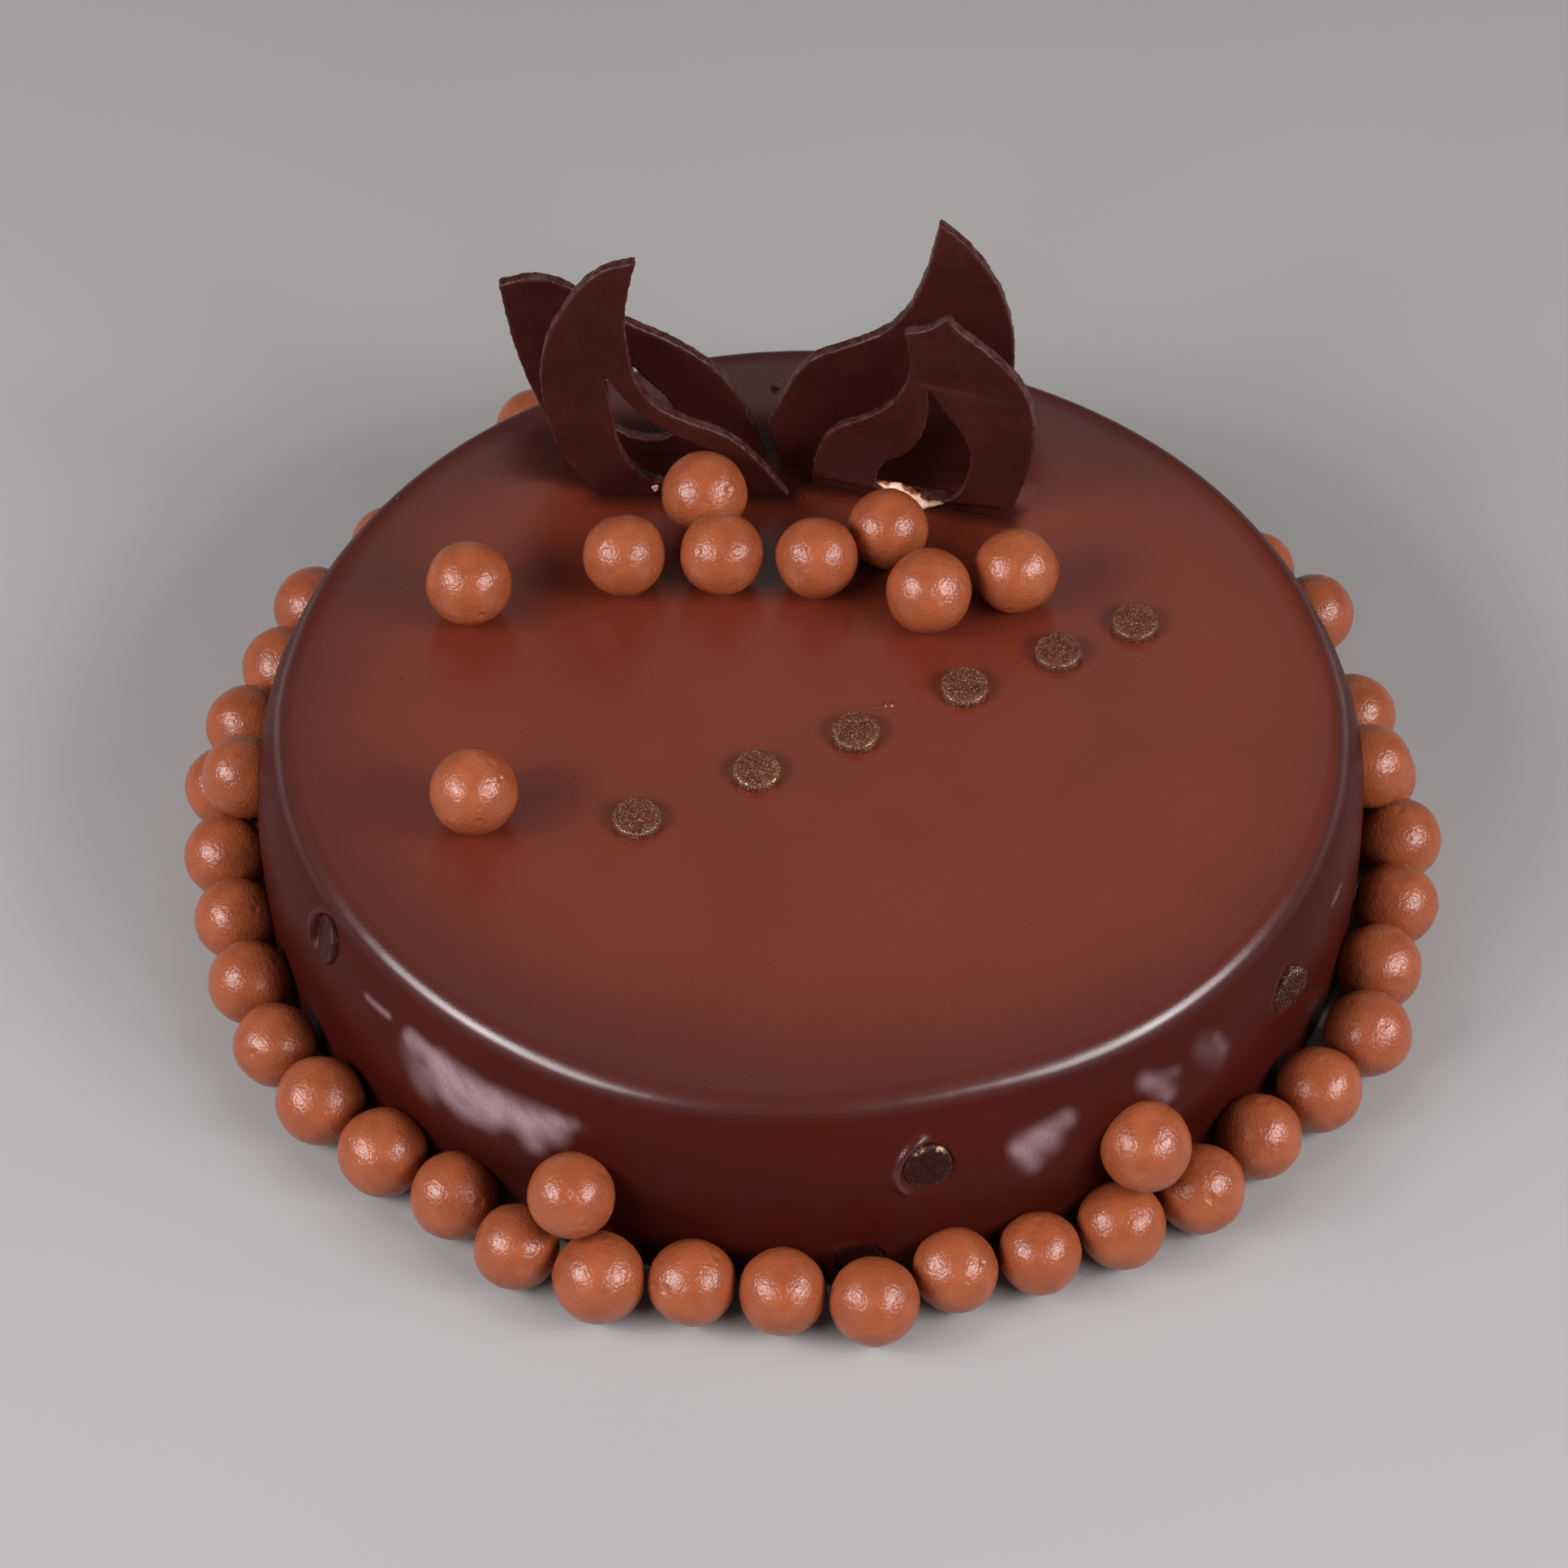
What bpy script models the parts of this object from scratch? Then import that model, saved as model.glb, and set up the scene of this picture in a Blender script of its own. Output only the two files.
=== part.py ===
"""A round chocolate cake under a poured chocolate glaze. Four thin cut-out chocolate shards stand on the
top, nine chocolate malt balls lie in front of them, and more malt balls lie in a ring round the foot,
with a few stacked on the ring. The front is towards -Y, +Z is up, and the origin is the centre of the
cake's flat bottom. Sizes are in millimetres and become metres where meshes are made."""

import math
import random

import bmesh
import bpy
from mathutils import Matrix, Vector

MM = 0.001
GAP = 0.3  # clear space kept between pieces that touch
TOLERANCE = 0.01  # two lengths closer than this count as equal

# Finishes: colour and roughness
GLAZE = ((0.085, 0.022, 0.014), 0.25)
MILK_CHOCOLATE = ((0.36, 0.125, 0.055), 0.35)
DARK_CHOCOLATE = ((0.045, 0.014, 0.01), 0.45)

# Cake
HEIGHT = 39.0
RIM_RADIUS = 91.0  # outside of the round edge of the top
RIM_ROUND = 2.8
FOOT_RADIUS = 96.4
FOOT_ROUND = 1.6
SHOULDER_POWER = 5  # the wall turns in towards the rim with this power of its height
SHOULDER_SPACING = 0.6  # below 1, the steps up the wall lie closer where the shoulder bends
WALL_STEPS = 7
ROUND_STEPS = 3
TURN_STEPS = 96

# Malt balls
SQUASH = 0.03  # most by which a ball is flatter one way than another
BALL_SEED = 7
STACKING_STEP = 0.05  # a stacked ball is raised in steps of this height
FLAT_SHARE = 0.93  # how far a ball's flattest facet lies from its centre, as a share of its radius

# Diameter of each ball in a touching run round the foot, and how far some of them stand off the wall. Below 0
# a ball is pressed into the wall, which has a dimple for it. Runs go anticlockwise as seen from above, and the
# turn is counted from +X.
LEFT_RUN = {"start": 150.5, "diameters": (15.7, 15.5, 15.0, 14.6), "off": {0: 0.8, 1: -1.5, 3: 0.6}}
FRONT_RUN = {
    "start": 185.2,
    "diameters": (
        *(14.9, 14.5, 14.6, 14.4, 15.3, 15.1, 14.8, 14.3),
        *(15.2, 14.5, 14.5, 14.8, 14.2, 13.9, 14.8, 15.1),
        *(14.7, 14.7, 15.1, 15.0, 14.7, 15.0, 15.3, 15.0),
    ),
    "off": {
        **{0: -1.0, 1: -1.4, 2: -0.6, 3: 0.6, 5: -0.9, 6: -1.6, 7: 2.0, 8: 2.1},
        **{9: -0.7, 10: -0.7, 11: 1.6, 12: -2.4, 13: -1.6, 14: -1.1},
        **{16: -1.0, 17: 0.9, 18: 2.3, 19: -0.6, 22: -2.8, 23: -2.0},
    },
}
RIGHT_RUN = {
    "start": 29.5,
    "diameters": (15.0, 14.8, 15.2, 14.6, 15.0, 15.3, 14.7),
    "off": {0: 2.8, 1: 0.8, 3: -0.8},
}
BACK_RUN = {"start": 91.7, "diameters": (15.1, 14.6, 15.3, 14.8, 15.0), "off": {1: 0.8, 3: -0.9}}
LONE_BALL = {"start": 138.8, "diameters": (15.2,), "off": {0: 0.5}}

# Balls that lie on the ring: turn from +X, diameter, and how far the ball stands off the wall, as above
STACKED_BALLS = (
    (181.5, 14.8, -4.5),
    (247.9, 14.4, -1.9),
    (303.1, 15.2, -3.7),
    (1.2, 14.8, -5.5),
    (120.8, 15.2, -2.5),
)

# Top balls: place from the centre, and diameter
TOP_BALLS = (
    *((-59.5, 19.5, 15.0), (-32.8, 27.0, 14.6), (-19.1, 42.4, 15.3)),
    *((-15.8, 27.4, 14.7), (0.8, 26.8, 14.6), (13.3, 34.3, 14.3)),
    *((20.3, 18.4, 15.1), (35.5, 23.6, 15.0), (-56.1, -29.5, 14.8)),
)

# Shards: outlines in each shard's own plane, along its foot and up from the top of the cake
SHARD_THICKNESS = 2.2
CURVE_STEPS = 3


def corner(along, up):
    return along, up, "VECTOR"


def soft(along, up):
    return along, up, "AUTO"


FRONT_LEFT_OUTLINE = (
    corner(9.5, 54.5),
    soft(3.5, 52.5),
    soft(-3.2, 44.2),
    soft(-7.4, 32.5),
    soft(-7.0, 20.0),
    soft(-3.5, 8.0),
    corner(2.5, 0.0),
    corner(36.0, 0.0),
    soft(31.5, 7.2),
    soft(24.5, 14.8),
    soft(16.5, 18.8),
    soft(10.5, 24.0),
    soft(7.6, 35.0),
    soft(7.6, 45.0),
)
FRONT_LEFT_HOLE = (
    corner(3.0, 30.2),
    soft(5.8, 25.0),
    soft(10.5, 19.0),
    soft(16.0, 14.4),
    soft(21.5, 11.4),
    soft(25.2, 7.4),
    soft(21.5, 3.4),
    soft(14.0, 3.2),
    soft(9.0, 5.8),
    soft(6.0, 11.0),
    soft(4.6, 20.4),
)
REAR_LEFT_OUTLINE = (
    corner(-5.0, 40.5),
    soft(1.5, 42.0),
    soft(7.5, 39.8),
    soft(12.0, 35.5),
    soft(19.0, 31.0),
    soft(26.5, 26.5),
    soft(33.5, 20.0),
    soft(38.0, 12.0),
    corner(41.5, 0.0),
    corner(6.5, 0.0),
    soft(1.2, 12.0),
    soft(-3.0, 27.0),
)
REAR_LEFT_HOLE = (
    corner(14.5, 26.5),
    soft(19.5, 19.5),
    soft(25.0, 12.0),
    soft(25.5, 6.0),
    soft(17.0, 5.0),
    soft(12.0, 12.0),
    soft(12.0, 20.0),
)
FRONT_RIGHT_OUTLINE = (
    corner(16.5, 41.5),
    soft(20.5, 43.0),
    corner(24.3, 46.5),
    corner(25.4, 44.4),
    soft(32.0, 38.6),
    soft(37.8, 31.0),
    soft(40.0, 19.5),
    soft(38.8, 9.0),
    corner(36.0, 0.0),
    corner(0.0, 0.0),
    soft(0.8, 7.5),
    soft(4.0, 14.8),
    soft(10.4, 20.2),
    soft(15.6, 26.0),
    soft(17.8, 33.5),
)
FRONT_RIGHT_HOLE = (
    corner(21.2, 30.0),
    soft(24.8, 24.0),
    soft(28.6, 17.8),
    soft(28.8, 10.5),
    soft(26.0, 4.0),
    soft(18.5, 3.2),
    corner(11.8, 4.2),
    soft(13.8, 10.4),
    soft(18.0, 13.8),
    soft(20.8, 20.0),
)
REAR_RIGHT_OUTLINE = (
    corner(27.5, 57.6),
    soft(31.0, 54.6),
    soft(36.4, 47.2),
    soft(40.2, 37.5),
    soft(41.5, 26.0),
    soft(40.0, 11.0),
    corner(36.5, 0.0),
    corner(0.6, 0.0),
    corner(-2.3, 9.8),
    soft(1.0, 18.0),
    soft(5.5, 26.0),
    soft(12.5, 29.6),
    soft(19.5, 34.0),
    soft(24.0, 42.0),
)

# Where each shard's foot starts, how far its plane is turned, and how far its middle bows to the front
SHARDS = {
    "shard_front_left": (FRONT_LEFT_OUTLINE, FRONT_LEFT_HOLE, (-40.0, 50.6), 0.0, 0.0),
    "shard_rear_left": (REAR_LEFT_OUTLINE, REAR_LEFT_HOLE, (-50.0, 61.0), 0.0, 0.0),
    "shard_front_right": (FRONT_RIGHT_OUTLINE, FRONT_RIGHT_HOLE, (0.0, 54.0), -13.2, 2.4),
    "shard_rear_right": (REAR_RIGHT_OUTLINE, None, (-6.0, 58.5), -2.0, 0.0),
}


def clear_scene():
    for thing in list(bpy.data.objects):
        bpy.data.objects.remove(thing)


def material(name, colour, roughness):
    made = bpy.data.materials.new(name)
    made.use_nodes = True
    shader = made.node_tree.nodes["Principled BSDF"]
    shader.inputs["Base Color"].default_value = (*colour, 1.0)
    shader.inputs["Roughness"].default_value = roughness
    shader.inputs["Metallic"].default_value = 0.0
    return made


def add_object(name, data, finish, collection):
    made = bpy.data.objects.new(name, data)
    data.materials.append(finish)
    collection.objects.link(made)
    return made


def wall_radius(height):
    share = height / (HEIGHT - RIM_ROUND)
    return FOOT_RADIUS - (FOOT_RADIUS - RIM_RADIUS) * share**SHOULDER_POWER


def cake_profile():
    """Radius and height from the middle of the top, over the rim and down the wall, to under the middle."""
    points = [(0.0, HEIGHT)]
    for step in range(ROUND_STEPS + 1):
        turn = math.radians(90 - 90 * step / ROUND_STEPS)
        reach = RIM_RADIUS - RIM_ROUND + RIM_ROUND * math.cos(turn)
        points.append((reach, HEIGHT - RIM_ROUND + RIM_ROUND * math.sin(turn)))
    wall_top = HEIGHT - RIM_ROUND
    for step in range(1, WALL_STEPS):
        share = (1 - step / WALL_STEPS) ** SHOULDER_SPACING
        height = FOOT_ROUND + (wall_top - FOOT_ROUND) * share
        points.append((wall_radius(height), height))
    points.append((FOOT_RADIUS, FOOT_ROUND))
    points.append((FOOT_RADIUS - FOOT_ROUND, 0.0))
    points.append((0.0, 0.0))
    return points


def make_cake(collection):
    mesh = bpy.data.meshes.new("cake")
    points = [(radius * MM, 0.0, height * MM) for radius, height in cake_profile()]
    mesh.from_pydata(points, [(i, i + 1) for i in range(len(points) - 1)], [])
    glaze = material("chocolate_glaze", *GLAZE)
    cake = add_object("cake", mesh, glaze, collection)
    screw = cake.modifiers.new("Turn", "SCREW")
    screw.steps = TURN_STEPS
    screw.render_steps = TURN_STEPS
    screw.use_merge_vertices = True
    screw.merge_threshold = 0.00001
    screw.use_smooth_shade = True
    return cake


def ball_mesh(diameter, chance):
    """An uneven ball: a sphere that is a little flatter two ways, then turned at random."""
    sheet = bmesh.new()
    bmesh.ops.create_icosphere(sheet, subdivisions=2, radius=diameter / 2 * MM)
    flat = [1 - SQUASH * chance.random() for _ in range(2)]
    bmesh.ops.scale(sheet, vec=Vector((flat[0], flat[1], 1.0)), verts=sheet.verts)
    for axis in "XY":
        turn = Matrix.Rotation(chance.uniform(0, math.pi), 3, axis)
        bmesh.ops.rotate(sheet, cent=Vector((0, 0, 0)), matrix=turn, verts=sheet.verts)
    mesh = bpy.data.meshes.new("malt_ball")
    sheet.to_mesh(mesh)
    sheet.free()
    mesh.shade_smooth()
    return mesh


def turn_between(reach_a, reach_b, apart):
    """The angle at the axis between two points at these radii that lie this far apart."""
    return math.acos((reach_a**2 + reach_b**2 - apart**2) / (2 * reach_a * reach_b))


def ball_reach(height, diameter, off):
    """How far from the axis a ball's centre is."""
    return wall_radius(height) + GAP + diameter / 2 + off


def foot_run(run):
    """Centres and diameters of touching balls that stand on the ground against the wall."""
    placed = []
    turn = math.radians(run["start"])
    for index, diameter in enumerate(run["diameters"]):
        reach = ball_reach(diameter / 2, diameter, run["off"].get(index, 0.0))
        if placed:
            before, before_reach, before_diameter = placed[-1]
            turn = before + turn_between(before_reach, reach, (before_diameter + diameter) / 2 + GAP)
        placed.append((turn, reach, diameter))
    return [(Vector((r * math.cos(t), r * math.sin(t), d / 2)), d) for t, r, d in placed]


def stacked_ball(turn, diameter, off, foot):
    """A ball that lies on the ring: it is raised until it is clear of every ball at the foot."""
    turn = math.radians(turn)
    height = diameter / 2
    while True:
        reach = ball_reach(height, diameter, off)
        centre = Vector((reach * math.cos(turn), reach * math.sin(turn), height))
        if all((centre - at).length >= (size + diameter) / 2 + GAP for at, size in foot):
            return centre, diameter
        height += STACKING_STEP


def is_pressed(centre, diameter):
    """Whether a ball at the wall, with its clear gap, reaches into the cake."""
    if centre.z > HEIGHT:
        return False
    return math.hypot(centre.x, centre.y) < ball_reach(centre.z, diameter, -TOLERANCE)


def make_balls(collection):
    """Makes the balls, and gives those that are pressed into the wall, each with its diameter."""
    chance = random.Random(BALL_SEED)
    finish = material("milk_chocolate", *MILK_CHOCOLATE)
    foot = [ball for run in (LEFT_RUN, FRONT_RUN, RIGHT_RUN, BACK_RUN, LONE_BALL) for ball in foot_run(run)]
    stacked = [stacked_ball(*ball, foot) for ball in STACKED_BALLS]
    top = [(Vector((x, y, HEIGHT + GAP + size / 2)), size) for x, y, size in TOP_BALLS]
    pressed = []
    for kind, balls in (("foot", foot), ("stacked", stacked), ("top", top)):
        for number, (centre, diameter) in enumerate(balls, start=1):
            mesh = ball_mesh(diameter, chance)
            ball = add_object(f"ball_{kind}_{number:02d}", mesh, finish, collection)
            ball.location = centre * MM
            if is_pressed(centre, diameter):
                pressed.append((ball, diameter))
    return pressed


def press_balls(cake, pressed):
    """Cuts a dimple into the cake for each pressed ball, the same shape and larger by the clear gap."""
    graph = bpy.context.evaluated_depsgraph_get()
    for ball, diameter in pressed:
        cutter = bpy.data.objects.new("cutter", ball.data.copy())
        cutter.location = ball.location
        cutter.scale = [1 + 2 * GAP / (FLAT_SHARE * diameter)] * 3
        bpy.context.scene.collection.objects.link(cutter)
        cut = cake.modifiers.new("Dimple", "BOOLEAN")
        cut.operation = "DIFFERENCE"
        cut.solver = "EXACT"
        cut.object = cutter
        graph.update()
        mesh = bpy.data.meshes.new_from_object(cake.evaluated_get(graph))
        cake.modifiers.clear()
        cake.data = mesh
        bpy.data.objects.remove(cutter)


def add_spline(curve, points):
    spline = curve.splines.new("BEZIER")
    spline.bezier_points.add(len(points) - 1)
    spline.use_cyclic_u = True
    spline.resolution_u = CURVE_STEPS
    for point, (along, up, handle) in zip(spline.bezier_points, points):
        point.co = (along * MM, up * MM, 0.0)
        point.handle_left_type = handle
        point.handle_right_type = handle


def make_shard(name, outline, hole, foot, turn, bow, finish, collection):
    """A flat cut-out with real thickness, stood up on the cake, its middle bowed a little to the front."""
    curve = bpy.data.curves.new(name + "_outline", "CURVE")
    curve.dimensions = "2D"
    curve.fill_mode = "BOTH"
    curve.resolution_u = CURVE_STEPS
    curve.extrude = SHARD_THICKNESS / 2 * MM
    for points in filter(None, (outline, hole)):
        add_spline(curve, points)
    flat = bpy.data.objects.new(name + "_outline", curve)
    collection.objects.link(flat)
    graph = bpy.context.evaluated_depsgraph_get()
    mesh = bpy.data.meshes.new_from_object(flat.evaluated_get(graph))
    bpy.data.objects.remove(flat)
    sheet = bmesh.new()
    sheet.from_mesh(mesh)
    bmesh.ops.remove_doubles(sheet, verts=sheet.verts, dist=TOLERANCE * MM)
    reach = [point[0] * MM for point in outline]
    middle, half = (min(reach) + max(reach)) / 2, (max(reach) - min(reach)) / 2
    for vert in sheet.verts:
        vert.co.z += bow * MM * (1 - ((vert.co.x - middle) / half) ** 2)
    bmesh.ops.recalc_face_normals(sheet, faces=sheet.faces)
    sheet.to_mesh(mesh)
    sheet.free()
    shard = add_object(name, mesh, finish, collection)
    shard.location = Vector((*foot, HEIGHT + GAP)) * MM
    shard.rotation_euler = (math.radians(90), 0.0, math.radians(turn))


def make_shards(collection):
    finish = material("dark_chocolate", *DARK_CHOCOLATE)
    for name, (outline, hole, foot, turn, bow) in SHARDS.items():
        make_shard(name, outline, hole, foot, turn, bow, finish, collection)


def main():
    clear_scene()
    parts = bpy.data.collections.new("chocolate_cake")
    bpy.context.scene.collection.children.link(parts)
    cake = make_cake(parts)
    press_balls(cake, make_balls(parts))
    make_shards(parts)


main()
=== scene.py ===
"""The looks of a round chocolate cake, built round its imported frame: a poured glaze with a soft edge, malt
balls with small dents, cut-out chocolate shards with rough edges, gold-dusted chocolate discs, a streak of
pale filling and crumbs.

Sizes are in millimetres and become metres where meshes are made. A turn is in degrees round the axis, from
+X, so it is 270 at the front, which is towards -Y."""

import math
import random

import bmesh
import bpy
import numpy as np
from mathutils import Matrix, Vector, noise
from mathutils.bvhtree import BVHTree


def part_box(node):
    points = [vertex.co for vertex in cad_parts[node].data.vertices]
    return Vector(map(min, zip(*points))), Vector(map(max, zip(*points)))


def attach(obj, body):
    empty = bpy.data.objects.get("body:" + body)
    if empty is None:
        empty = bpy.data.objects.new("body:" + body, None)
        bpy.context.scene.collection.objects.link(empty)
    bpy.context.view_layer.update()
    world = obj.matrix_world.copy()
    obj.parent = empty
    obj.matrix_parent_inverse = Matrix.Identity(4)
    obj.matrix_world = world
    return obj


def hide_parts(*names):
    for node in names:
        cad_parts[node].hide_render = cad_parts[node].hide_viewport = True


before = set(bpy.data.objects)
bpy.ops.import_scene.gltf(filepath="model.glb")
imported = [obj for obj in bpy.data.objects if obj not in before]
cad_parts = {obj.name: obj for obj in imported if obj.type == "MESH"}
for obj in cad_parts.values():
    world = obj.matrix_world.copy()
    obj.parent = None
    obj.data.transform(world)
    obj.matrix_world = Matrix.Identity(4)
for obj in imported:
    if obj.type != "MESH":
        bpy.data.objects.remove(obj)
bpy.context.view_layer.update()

MM = 0.001
BODY = "root"
SEED = 11

# Camera, at the photograph's viewing angle
CAMERA_PLACE = (-2.4, -537.3, 595.5)
CAMERA_TURN = (42.88, -0.16, 0.41)
LENS = 103.4
SENSOR = 36.0

# Light: a broad softbox to either side of the camera, each with a brighter middle, and a dim dome with a
# brighter part at the back, which the top mirrors
LAMP_UP = 35.0
BOX_AWAY = 1000.0
BOX_TURN = 61.0  # from the front, to either side
BOX_WIDTH = 780.0
BOX_TALL = 380.0
BOX_POWER = 9.7
CORE_AWAY = 960.0
CORE_TURN = 65.0
CORE_WIDTH = 140.0
CORE_TALL = 140.0
CORE_POWER = 1.15
LAMP_COLOUR = (1.0, 0.955, 0.975)
DOME_COLOUR = (1.0, 0.985, 0.97)
DOME_DIM = 0.13
DOME_BRIGHT = 0.47
BRIGHT_WAY = (0.03, 0.839, 0.543)  # the middle of the brighter part
BRIGHT_CORE = 0.975  # cosines of its inner and outer reach
BRIGHT_END = 0.935
FLOOR_REACH = 4000.0  # from its middle to each side

# The glazed cake, read from the frame
CAKE_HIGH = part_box("cake")[1]
HEIGHT = CAKE_HIGH.z / MM
FOOT_RADIUS = CAKE_HIGH.x / MM
FOOT_ROUND = 1.6
TOP_FROM = HEIGHT - 0.01  # the flat top lies above this

# The rim: how far the wall turns in on its way up, with what power of the height, and the round of the
# top's edge. It is softer at the back than in front and at the sides, apart from one soft spot in front.
SOFT_RIM = (5.4, 5.0, 4.6)
CRISP_RIM = (4.5, 6.1, 3.8)
FRONT_CRISPNESS = 0.55  # from the soft rim's 0 to the crisp rim's 1
CRISP_SINES = (0.25, -0.05)  # of the turns between which the back gives way to the front
SOFT_SPOT = 286.0
SOFT_SPOT_REACH = 16.0
SOFT_SPOT_IN = 1.3  # how far in the rim also lies there
SOFT_SPOT_RADII = (60.0, 85.0)  # over which this grows on the top
SOFT_SPOT_HEIGHTS = (26.0, 36.0)  # and on the wall
WALL_LEAN = math.radians(36.0)  # where the wall meets the round of the edge, which leaves no crease
RIM_LOW = 37.1  # about the height where it does

PRESSED = 0.35  # how far a ball or shard sinks towards the glaze, which closes the frame's clear gap

# Discs on the top: place from the centre, and how thick their gold dust lies
TOP_DISCS = (
    *((-29.1, -29.6, 0.8), (-9.2, -18.5, 0.9), (7.6, -9.4, 0.6)),
    *((26.3, 1.5, 0.7), (42.7, 10.1, 0.4), (56.3, 17.4, 0.4)),
)
DISC_RADIUS = 4.35
DISC_THICK = 2.3
TOP_DISC_SCALE = 0.96  # those on the top are a little narrower, and lean to the front
TOP_DISC_LEAN = math.radians(4.0)
TOP_DISC_TILT = 2.5  # the most degrees by which chance tilts them, either way
TOP_DISC_SUNK = 0.25  # how far their undersides lie under the glaze

# Discs in the wall: turn, height, lean back, swing towards a higher turn, how far the face lies under the
# glaze, height of the lip beside it, dust, and where a glint is painted on its edge (degrees, 180 at the
# top)
WALL_DISCS = (
    (211.6, 31.0, 14.0, -15.0, 0.3, 0.20, 0.05, ()),
    (281.6, 26.8, 13.0, 0.0, 0.5, 0.90, 0.04, (148.0, 203.0)),
    (326.2, 25.3, 2.0, -11.0, -0.55, 0.15, 0.30, (165.0,)),
    (275.0, 6.0, 0.0, 0.0, 0.6, 0.40, 0.0, ()),
)

# Swellings of the glaze on the wall: turn, height, reach round the wall, reach up it, and how far out
SWELLINGS = (
    (236.0, 20.0, 12.0, 8.0, 1.9),
    (292.0, 21.0, 6.0, 7.0, 1.2),
    (309.0, 21.0, 7.0, 6.0, 1.1),
    (221.8, 28.0, 2.6, 3.0, 0.3),
)

# Patches of painted sheen on the swellings, where the glaze is also glossier and rippled: from turn and
# height to turn and height, half width, and strength
PAINTED_SHEEN_PATCHES = (
    *((226.8, 30.2, 232.0, 29.2, 1.1, 0.80), (231.0, 29.2, 237.5, 28.2, 1.7, 0.72)),
    *((233.0, 27.2, 237.5, 26.6, 2.3, 0.92), (238.5, 28.0, 244.5, 28.2, 2.0, 0.92)),
    *((227.6, 28.0, 229.6, 23.8, 2.1, 0.30), (230.5, 27.2, 235.0, 25.0, 2.0, 0.35)),
    *((241.5, 27.0, 242.8, 24.4, 1.5, 0.55), (244.0, 29.4, 246.6, 30.4, 0.9, 0.40)),
    *((290.5, 27.9, 296.0, 29.9, 1.1, 0.54), (291.3, 26.9, 291.8, 24.2, 1.3, 0.36)),
    *((291.3, 27.1, 293.6, 27.7, 1.9, 0.44), (305.0, 30.4, 307.2, 26.4, 1.3, 0.34)),
    *((305.2, 30.2, 308.4, 29.2, 0.9, 0.24), (312.4, 30.2, 314.4, 26.4, 1.7, 0.14)),
    *((314.2, 30.4, 314.9, 27.4, 0.8, 0.18), (306.6, 28.2, 307.0, 25.6, 0.8, 0.14)),
    *((219.9, 30.6, 223.6, 30.8, 0.4, 0.50), (337.0, 29.0, 339.0, 29.0, 0.4, 0.40)),
)
SHEEN_FADE = 2.2  # where a patch of painted sheen ends, in half widths from its middle
SHEEN_STREAKS = 0.26  # how much slanting streaks weaken the painted sheen
STREAK_SLANT = (0.86, 0.51)  # the slant's cosine and sine
STREAK_SIZE = (6.5, 2.2)  # along the streaks and across them
RUN_RIPPLE = 0.10


def smooth(share):
    """Rises smoothly from 0 to 1."""
    share = min(max(share, 0.0), 1.0)
    return share * share * (3 - 2 * share)


def ramp(value, start, end):
    """Goes smoothly from 0 at the start to 1 at the end, which may be the lower of the two."""
    return smooth((value - start) / (end - start))


def bell(away):
    """Falls smoothly from 1 in the middle to almost nothing at 2."""
    return math.exp(-away * away)


# ---------------------------------------------------------------- pieces


def new_piece(name, mesh, finish, stands_for=()):
    """Links a mesh as a piece of the cake."""
    piece = bpy.data.objects.new(name, mesh)
    mesh.materials.append(finish)
    mesh.shade_smooth()
    bpy.context.scene.collection.objects.link(piece)
    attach(piece, BODY)
    if stands_for:
        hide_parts(*stands_for)


def mesh_of(name, points, faces):
    """A mesh from points in millimetres."""
    mesh = bpy.data.meshes.new(name)
    mesh.from_pydata([tuple(c * MM for c in point) for point in points], [], faces)
    mesh.update()
    return mesh


def store(mesh, name, values):
    """Keeps a value for each point, which a finish reads as a mark."""
    mark = mesh.attributes.new(name, "FLOAT", "POINT")
    mark.data.foreach_set("value", values)


def ring_faces(rows, columns):
    """Faces between rows of points that each go once round."""
    faces = []
    for row in range(rows - 1):
        for column in range(columns):
            after = (column + 1) % columns
            low, high = row * columns, (row + 1) * columns
            faces.append((low + column, low + after, high + after, high + column))
    return faces


def mesh_from(sheet, name):
    """Turns a sheet of faces into a mesh."""
    mesh = bpy.data.meshes.new(name)
    sheet.to_mesh(mesh)
    sheet.free()
    return mesh


def noise_shift(chance):
    """Where in the noise a piece starts, so that no two are alike."""
    return Vector([chance.uniform(0, 50) for _ in range(3)])


LUMP_FINENESS = 1.7


def lumpy_sphere(sheet, place, size, fineness, chance, rough):
    """Adds a small uneven lump to a sheet of faces."""
    shift = noise_shift(chance)
    made = bmesh.ops.create_icosphere(sheet, subdivisions=fineness, radius=1.0)
    for vert in made["verts"]:
        way = vert.co.normalized()
        reach = 1 + rough * noise.noise(way * LUMP_FINENESS + shift)
        vert.co = (Vector(place) + Vector([w * s for w, s in zip(way, size)]) * reach) * MM


# ---------------------------------------------------------------- finishes

# Colours, as linear red, green and blue. A pair of them is mixed in soft patches.
GLAZE_TOP = ((0.126, 0.0200, 0.0088), (0.144, 0.0236, 0.0108))
# Painted shade, mixed in towards the rim of the top
GLAZE_RIM_SHADE = (0.064, 0.0122, 0.0082)
# On the wall: the glaze's own colour, darkened further by painted shade
GLAZE_WALL_SHADED = ((0.040, 0.0044, 0.0024), (0.050, 0.0060, 0.0032))
# Painted shade round the shards' feet
GLAZE_PAINTED_SHADE = (0.016, 0.0040, 0.0026)
# Painted sheen in the patches on the wall
GLAZE_PAINTED_SHEEN = (0.315, 0.205, 0.225)
MILK_CHOCOLATE = ((0.258, 0.0612, 0.0210), (0.322, 0.0806, 0.0290))
SHARD_FACE = ((0.033, 0.0058, 0.0036), (0.045, 0.0088, 0.0058))
SHARD_EDGE = (0.095, 0.043, 0.038)
TOP_DISC_COLOURS = ((0.054, 0.0125, 0.0080), (0.090, 0.0225, 0.0155))
# Painted glint on the edges of the discs on the top
TOP_DISC_GLINT = (0.24, 0.14, 0.07)
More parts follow.
